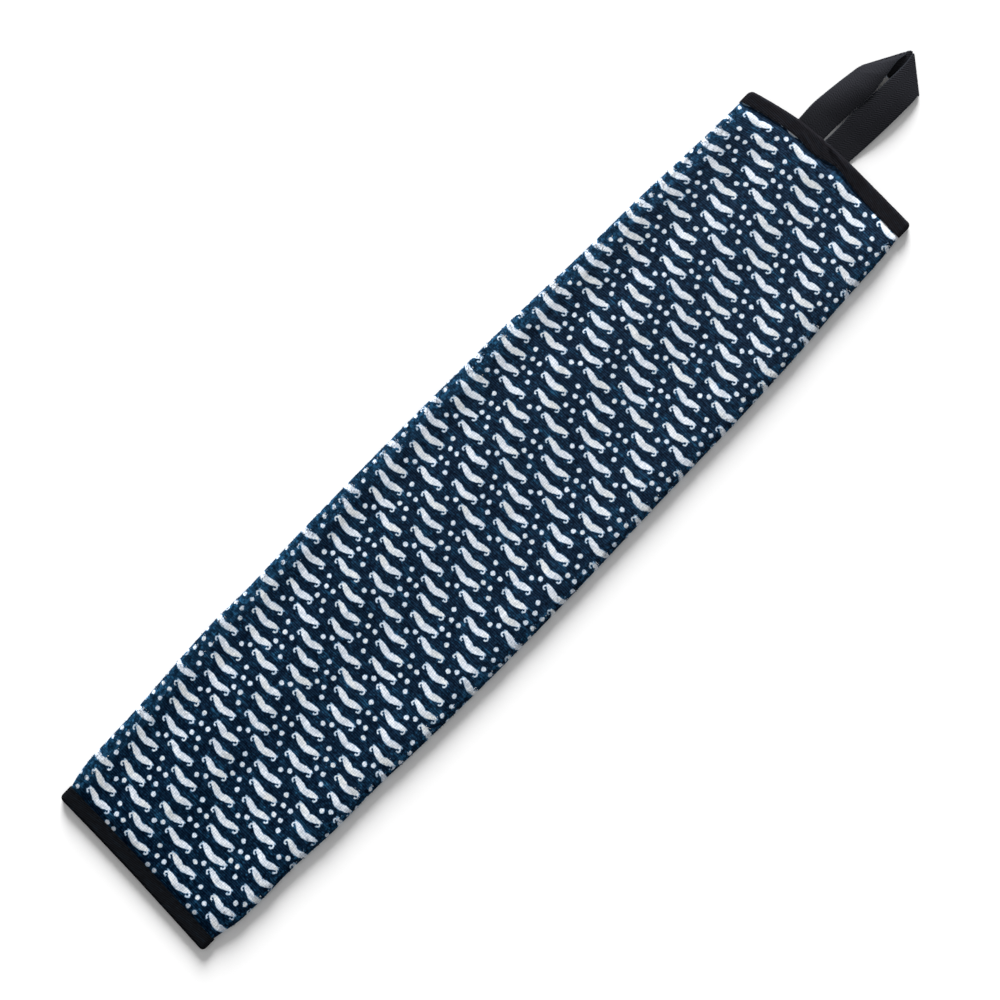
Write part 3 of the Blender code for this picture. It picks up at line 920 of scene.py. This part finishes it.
class Wire:
    """A number, vector or colour in a material's nodes, so that formulas can be written out."""

    def __init__(self, tree, socket):
        self.tree = tree
        self.socket = socket

    def math(self, operation, *others):
        node = self.tree.nodes.new("ShaderNodeMath")
        node.operation = operation
        return feed(self.tree, node, (self, *others))

    def __add__(self, other):
        return self.math("ADD", other)

    def __sub__(self, other):
        return self.math("SUBTRACT", other)

    def __mul__(self, other):
        return self.math("MULTIPLY", other)

    def __truediv__(self, other):
        return self.math("DIVIDE", other)

    def vector_math(self, operation, *others):
        node = self.tree.nodes.new("ShaderNodeVectorMath")
        node.operation = operation
        return feed(self.tree, node, (self, *others))

    def parts(self):
        node = self.tree.nodes.new("ShaderNodeSeparateXYZ")
        self.tree.links.new(self.socket, node.inputs[0])
        return [Wire(self.tree, out) for out in node.outputs]

    def ramp(self, low, high, to_low=0.0, to_high=1.0):
        """Straight from low to high, held beyond them."""
        node = self.tree.nodes.new("ShaderNodeMapRange")
        node.clamp = True
        return feed(self.tree, node, (self, low, high, to_low, to_high))


def feed(tree, node, values):
    """Gives a node its inputs in order, and returns its first output in use."""
    for socket, value in zip(node.inputs, values):
        if isinstance(value, Wire):
            tree.links.new(value.socket, socket)
        else:
            socket.default_value = value
    return Wire(tree, next(out for out in node.outputs if out.enabled))


def vector(tree, x, y, z=0.0):
    return feed(tree, tree.nodes.new("ShaderNodeCombineXYZ"), (x, y, z))


def grain(tree, place, scale, detail=2.0, roughness=0.5):
    """Noise between 0 and 1 at a place in millimetres; scale is in features a millimetre."""
    node = tree.nodes.new("ShaderNodeTexNoise")
    node.inputs["Scale"].default_value = scale
    node.inputs["Detail"].default_value = detail
    node.inputs["Roughness"].default_value = roughness
    tree.links.new(place.socket, node.inputs["Vector"])
    return Wire(tree, node.outputs["Fac"])


def blend(tree, share, a, b):
    """Colour a at share 0, colour b at share 1."""
    node = tree.nodes.new("ShaderNodeMix")
    node.data_type = "RGBA"
    for socket, value in zip((node.inputs[0], node.inputs[6], node.inputs[7]), (share, a, b)):
        if isinstance(value, Wire):
            tree.links.new(value.socket, socket)
        else:
            socket.default_value = value if isinstance(value, float) else (*value, 1.0)
    return Wire(tree, node.outputs[2])


def flat_place(tree):
    node = tree.nodes.new("ShaderNodeUVMap")
    node.uv_map = "flat"
    return Wire(tree, node.outputs[0])


def margin_share(tree):
    """1 along the side folds, 0 on the flat of the cloth."""
    node = tree.nodes.new("ShaderNodeAttribute")
    node.attribute_name = "margin"
    return Wire(tree, node.outputs["Fac"])


def new_material(name, roughness):
    material = bpy.data.materials.new(name)
    material.use_nodes = True
    tree = material.node_tree
    shader = tree.nodes["Principled BSDF"]
    shader.inputs["Roughness"].default_value = roughness
    shader.inputs["Specular IOR Level"].default_value = 0.0
    return material, tree, shader


def set_bump(tree, shader, height, distance, strength):
    node = tree.nodes.new("ShaderNodeBump")
    node.inputs["Distance"].default_value = distance
    node.inputs["Strength"].default_value = strength
    tree.links.new(height.socket, node.inputs["Height"])
    tree.links.new(node.outputs[0], shader.inputs["Normal"])


def in_repeat(place, spot):
    """The place seen from a spot of the repeat, in the copy of the repeat that is nearest."""
    half = (PRINT_ACROSS / 2, PRINT_ALONG / 2, 1.0)
    shifted = place.vector_math("SUBTRACT", (spot.x, spot.y, 0.0))
    return shifted.vector_math("WRAP", half, tuple(-size for size in half))


def print_depth(tree, place):
    """How far in from the edge of a white motif a place lies, below zero on the ground."""
    dots = None
    for spot in DOTS:
        far = in_repeat(place, spot).vector_math("LENGTH")
        far = Wire(tree, far.socket.node.outputs["Value"])
        dots = far if dots is None else dots.math("MINIMUM", far)
    dot_depth = dots * -1.0 + DOT_RADIUS

    nearest, there = None, None
    for spot in MOUSTACHES:
        local = in_repeat(place, spot)
        inside = local.parts()[1].math("ABSOLUTE").math("LESS_THAN", WHISKER_BAND)
        scaled = tree.nodes.new("ShaderNodeVectorMath")
        scaled.operation = "SCALE"
        tree.links.new(local.socket, scaled.inputs[0])
        tree.links.new(inside.socket, scaled.inputs["Scale"])
        scaled = Wire(tree, scaled.outputs[0])
        nearest = scaled if nearest is None else nearest.vector_math("ADD", scaled)
        there = inside if there is None else there + inside
    x, y, _ = nearest.parts()
    turn = (place.parts()[0] - x) * (math.pi / PRINT_ACROSS)
    width = turn.math("SINE") * WHISKER_WIDTH_TURN + WHISKER_WIDTH
    out = x.math("ABSOLUTE") / width
    along, aside = math.cos(LOBE_TILT), math.sin(LOBE_TILT)
    lobe_x, lobe_y = out - LOBE_MIDDLE[0], y - LOBE_MIDDLE[1]
    length = (lobe_x * along + lobe_y * aside) / LOBE_HALF_LENGTH
    breadth = (lobe_y * along - lobe_x * aside) / LOBE_HALF_WIDTH
    breadth = breadth / (length * -LOBE_TAPER + 1.0)
    lobe = (length * length + breadth * breadth).math("SQRT") * -LOBE_HALF_WIDTH + LOBE_HALF_WIDTH
    hook_x, hook_y = out - HOOK_MIDDLE[0], y - HOOK_MIDDLE[1]
    ring = (hook_x * hook_x + hook_y * hook_y).math("SQRT") - HOOK_RADIUS
    hook = (ring.math("ABSOLUTE") * -1.0 + HOOK_HALF_WIDTH).math("MINIMUM", hook_x + HOOK_END)
    whisker = lobe.math("MAXIMUM", hook).math("MINIMUM", there * 20.0 - 10.0)
    return whisker.math("MAXIMUM", dot_depth)


def thread_cells(tree, x, y, pitch_x, pitch_y):
    """Three random numbers for every crossing of two threads, whose lines wander a little."""
    wander = (grain(tree, vector(tree, x * 0.14, y * 0.5), 1.0, 3.0, 0.6) - 0.5) * 3.4
    drift = (grain(tree, vector(tree, x * 0.5, y * 0.14, 9.0), 1.0, 3.0, 0.6) - 0.5) * 3.0
    column, row = (x + drift) / pitch_x, (y + wander) / pitch_y
    node = tree.nodes.new("ShaderNodeTexWhiteNoise")
    node.noise_dimensions = "2D"
    cell = vector(tree, column.math("FLOOR"), row.math("FLOOR"))
    tree.links.new(cell.socket, node.inputs["Vector"])
    return column, row, Wire(tree, node.outputs["Color"]).parts()


def terry_material():
    """Navy cotton with a short pile and a white print, both following the flat cloth."""
    material, tree, shader = new_material("printed_terry", 0.95)
    across, down, _ = flat_place(tree).parts()
    x = across * PRINT_ACROSS
    y = down * -PRINT_ALONG
    place = vector(tree, x, y)
    column, row, (shift_x, shift_y, tone) = thread_cells(tree, x, y, *THREAD_PITCH)
    soft_x = (grain(tree, place, 0.5, 2.0) - 0.5) * 0.9
    soft_y = (grain(tree, vector(tree, x, y, 40.0), 0.5, 2.0) - 0.5) * 0.9
    ragged_x = x + soft_x + (shift_x - 0.5) * 0.45
    ragged_y = y + soft_y + (shift_y - 0.5) * 0.45
    depth = print_depth(tree, vector(tree, ragged_x, ragged_y))
    margin = margin_share(tree)
    broken = margin * (tone - 0.5).math("MAXIMUM", 0.0) * 1.2
    printed = (depth - broken).ramp(-0.30, 0.22)

    wale = (row.math("FRACT") - 0.5).math("ABSOLUTE").ramp(0.10, 0.44, 1.0, 0.0)
    rib = (column.math("FRACT") - 0.5).math("ABSOLUTE").ramp(0.16, 0.48, 1.0, 0.0)
    level = row.math("FLOOR")
    picks = grain(tree, vector(tree, x * 0.33, level * 7.3), 1.0, 2.0, 0.6).ramp(0.34, 0.66)
    runs = grain(tree, vector(tree, x * 0.06, level * 5.1, 20.0), 1.0, 2.0, 0.5).ramp(0.50, 0.70)
    patches = grain(tree, place, 0.07, 3.0, 0.6).ramp(0.46, 0.66)
    dash = (picks - 0.62).math("MAXIMUM", 0.0) * 2.6 * (patches * 0.8 + 0.12) + runs * patches * 0.9
    speck = margin * (tone * 1.2 + picks * 0.4 - 0.95)
    # Painted light along the length: navy and white grow lighter toward the loop end, standing for the
    # light's falloff and sheen.
    painted_light_to_loop_end = down.ramp(-1.0, 16.0, 1.0, 0.0)
    dark, mid = (blend(tree, painted_light_to_loop_end, *pair) for pair in zip(NAVY, PAINTED_LIT_NAVY))
    weft = (wale * (picks * 0.75 + 0.25) + rib * 0.16 + (tone - 0.5) * 0.30).ramp(0.08, 0.95)
    ground = blend(tree, weft, dark, mid)
    # Raised pile and painted light: the ground lighter along the left fold, the side that faces the lamp.
    left = margin * across.ramp(-0.4, 0.4, 1.0, 0.0)
    flecks_and_painted_light = (dash * (wale * 0.8 + 0.2)).math("MAXIMUM", speck.ramp(0.0, 0.6)) * 0.78 + left * 0.12
    ground = blend(tree, flecks_and_painted_light, ground, BLUE_FLECK)
    weave = wale * 0.45 + rib * 0.55
    shade = (weave * 0.60 + tone * 0.34 + picks * 0.22).ramp(0.20, 1.02)
    cream = grain(tree, place, 0.045, 2.0).ramp(0.46, 0.62)
    white = blend(tree, cream, blend(tree, shade, *CLEAN_WHITE), blend(tree, shade, *CREAM_WHITE))
    white = blend(tree, painted_light_to_loop_end * 0.30, white, PAINTED_LIT_WHITE)
    # Painted shade: the white darker and bluer toward the lower end.
    white = blend(tree, painted_light_to_loop_end * -0.12 + 0.12, white, PAINTED_SHADE_WHITE)
    white = blend(tree, margin * 0.08, white, MARGIN_WHITE)
    colour = blend(tree, printed, ground, white)
    fringe = printed * (printed * -1.0 + 1.0) * 3.0
    colour = blend(tree, fringe, colour, PRINT_FRINGE)
    tree.links.new(colour.socket, shader.inputs["Base Color"])

    pile = grain(tree, vector(tree, x * 1.1, y * 1.9), 1.2, 3.0, 0.65)
    height = pile * 0.8 + weave * 0.5 + tone * 0.3 + printed * 0.1
    set_bump(tree, shader, height, 0.0003, 0.5)
    return material


def twill_material(name, depth, cool):
    """Black twill tape, its ribs at a low angle across it; depth scales its tone, and below 1 it paints
    shade; cool its blue.
    """
    material, tree, shader = new_material(name, 0.85)
    x, y, _ = flat_place(tree).parts()
    wobble = grain(tree, vector(tree, x * 0.5, y), 0.5, 2.0) * 0.5
    ribs = ((x * 0.22 + y + wobble) * (2 * math.pi / TWILL_PERIOD)).math("SINE") * 0.5 + 0.5
    threads = grain(tree, vector(tree, x * 0.45, y * 2.0), 1.2, 3.0, 0.65)
    worn = grain(tree, vector(tree, x * 0.12, y * 0.5), 0.8, 3.0, 0.7).ramp(0.48, 0.8)
    tone = (ribs * 0.45 + threads * 0.8).ramp(0.25, 1.0)
    low = tuple(depth * part for part in (0.0055, 0.0053 + cool * 0.0007, 0.0064 + cool * 0.0010))
    high = tuple(depth * part for part in (0.0165, 0.0160 + cool * 0.0020, 0.0192 + cool * 0.0028))
    blue = tuple(depth * part for part in (0.0230, 0.0380, 0.0560))
    colour = blend(tree, worn * tone * (0.5 + cool * 0.5), blend(tree, tone, low, high), blue)
    tree.links.new(colour.socket, shader.inputs["Base Color"])
    set_bump(tree, shader, ribs * 0.6 + threads * 0.7, 0.0004, 0.8)
    return material


def herringbone_material():
    """Black tape woven in herringbone: ribs that turn at every column, and a painted highlight along both
    edges.
    """
    material, tree, shader = new_material("herringbone_tape", 0.8)
    x, y, _ = flat_place(tree).parts()
    column = (x / HERRINGBONE_COLUMN).math("FRACT") - 0.5
    zigzag = column.math("ABSOLUTE") * HERRINGBONE_COLUMN * 2.1
    ribs = ((y + zigzag) * (2 * math.pi / HERRINGBONE_PERIOD)).math("SINE") * 0.5 + 0.5
    threads = grain(tree, vector(tree, x * 1.3, y), 1.0, 3.0, 0.65)
    tone = (ribs * 0.8 + threads).ramp(0.42, 1.36)
    colour = blend(tree, tone, *TAPE_BLACK)
    # Painted highlight: the tape's edges lighter, where they catch the light.
    edge_highlight = (x - LOOP_WIDTH / 2).math("ABSOLUTE").ramp(*EDGE_HIGHLIGHT_BAND) * 0.5
    colour = blend(tree, edge_highlight, colour, EDGE_HIGHLIGHT_GREY)
    tree.links.new(colour.socket, shader.inputs["Base Color"])
    set_bump(tree, shader, ribs * 0.5 + threads * 0.6, 0.0004, 0.6)
    return material


def pale_thread_material():
    """Loose thread, speckled by its place in metres."""
    material, tree, shader = new_material("pale_thread", 0.9)
    node = tree.nodes.new("ShaderNodeTexCoord")
    speckle = grain(tree, Wire(tree, node.outputs["Object"]), 3000.0)
    colour = blend(tree, speckle, *PALE_THREAD)
    tree.links.new(colour.socket, shader.inputs["Base Color"])
    return material


def add_floor():
    size = TABLE_HALF_WIDTH
    mesh = bpy.data.meshes.new("table")
    corners = [(-size, -size, 0.0), (size, -size, 0.0), (size, size, 0.0), (-size, size, 0.0)]
    mesh.from_pydata(corners, [], [(0, 1, 2, 3)])
    material, _, shader = new_material("white_table", 0.9)
    shader.inputs["Base Color"].default_value = (TABLE_TONE, TABLE_TONE, TABLE_TONE, 1.0)
    floor = placed("table", mesh, material)


def add_studio():
    scene = bpy.context.scene
    scene.view_settings.view_transform = "Standard"
    world = bpy.data.worlds.new("studio")
    world.use_nodes = True
    sky = world.node_tree.nodes["Background"]
    sky.inputs["Color"].default_value = (1.0, 1.0, 1.0, 1.0)
    sky.inputs["Strength"].default_value = FILL
    scene.world = world
    data = bpy.data.lights.new("key", "SUN")
    data.energy = KEY
    data.angle = math.radians(KEY_SPREAD)
    light = bpy.data.objects.new("key", data)
    toward = Vector((*KEY_FROM, math.tan(math.radians(KEY_HEIGHT))))
    light.rotation_euler = toward.to_track_quat("Z", "Y").to_euler()
    scene.collection.objects.link(light)


def add_camera():
    data = bpy.data.cameras.new("camera")
    data.sensor_width = 36.0
    data.lens = 36.0 * CAMERA_HEIGHT / VIEW_WIDTH
    camera = bpy.data.objects.new("camera", data)
    camera.location = (*VIEW_MIDDLE, CAMERA_HEIGHT)
    camera.rotation_euler = (0.0, 0.0, math.radians(VIEW_TURN))
    bpy.context.scene.collection.objects.link(camera)
    bpy.context.scene.camera = camera


add_camera()
add_studio()
add_floor()
sides, margins = cloth_sides()
terry = terry_material()
cloth = sheet_piece("cloth", sides, terry, "towel")
set_margin(cloth, np.tile(np.array(margins).ravel(), 2))
pile = margin_pile(sides, terry)
top_end = (top_line, top_flap, TOP_ENDS, 1, loop_hump)
bottom_end = (bottom_line, bottom_flap, BOTTOM_ENDS, -1, no_hump)
twill = twill_material("twill_tape", 1.0, 0.0)
# The lower binding's tape is the same twill at half tone, painted shade of the light's falloff toward the
# lower end, and bluer.
painted_shade_twill = twill_material("dark_twill_tape", 0.5, 1.0)
top_binding = sheet_piece("top_binding", binding_sides(*top_end), twill, "binding_top")
bottom_binding = sheet_piece("bottom_binding", binding_sides(*bottom_end), painted_shade_twill, "binding_bottom")
top_seam = binding_stitches("top_seam", *top_end, twill)
bottom_seam = binding_stitches("bottom_seam", *bottom_end, painted_shade_twill)
loop = sheet_piece("loop_tape", loop_sides(), herringbone_material(), "hanging_loop")
threads = loose_threads(pale_thread_material())
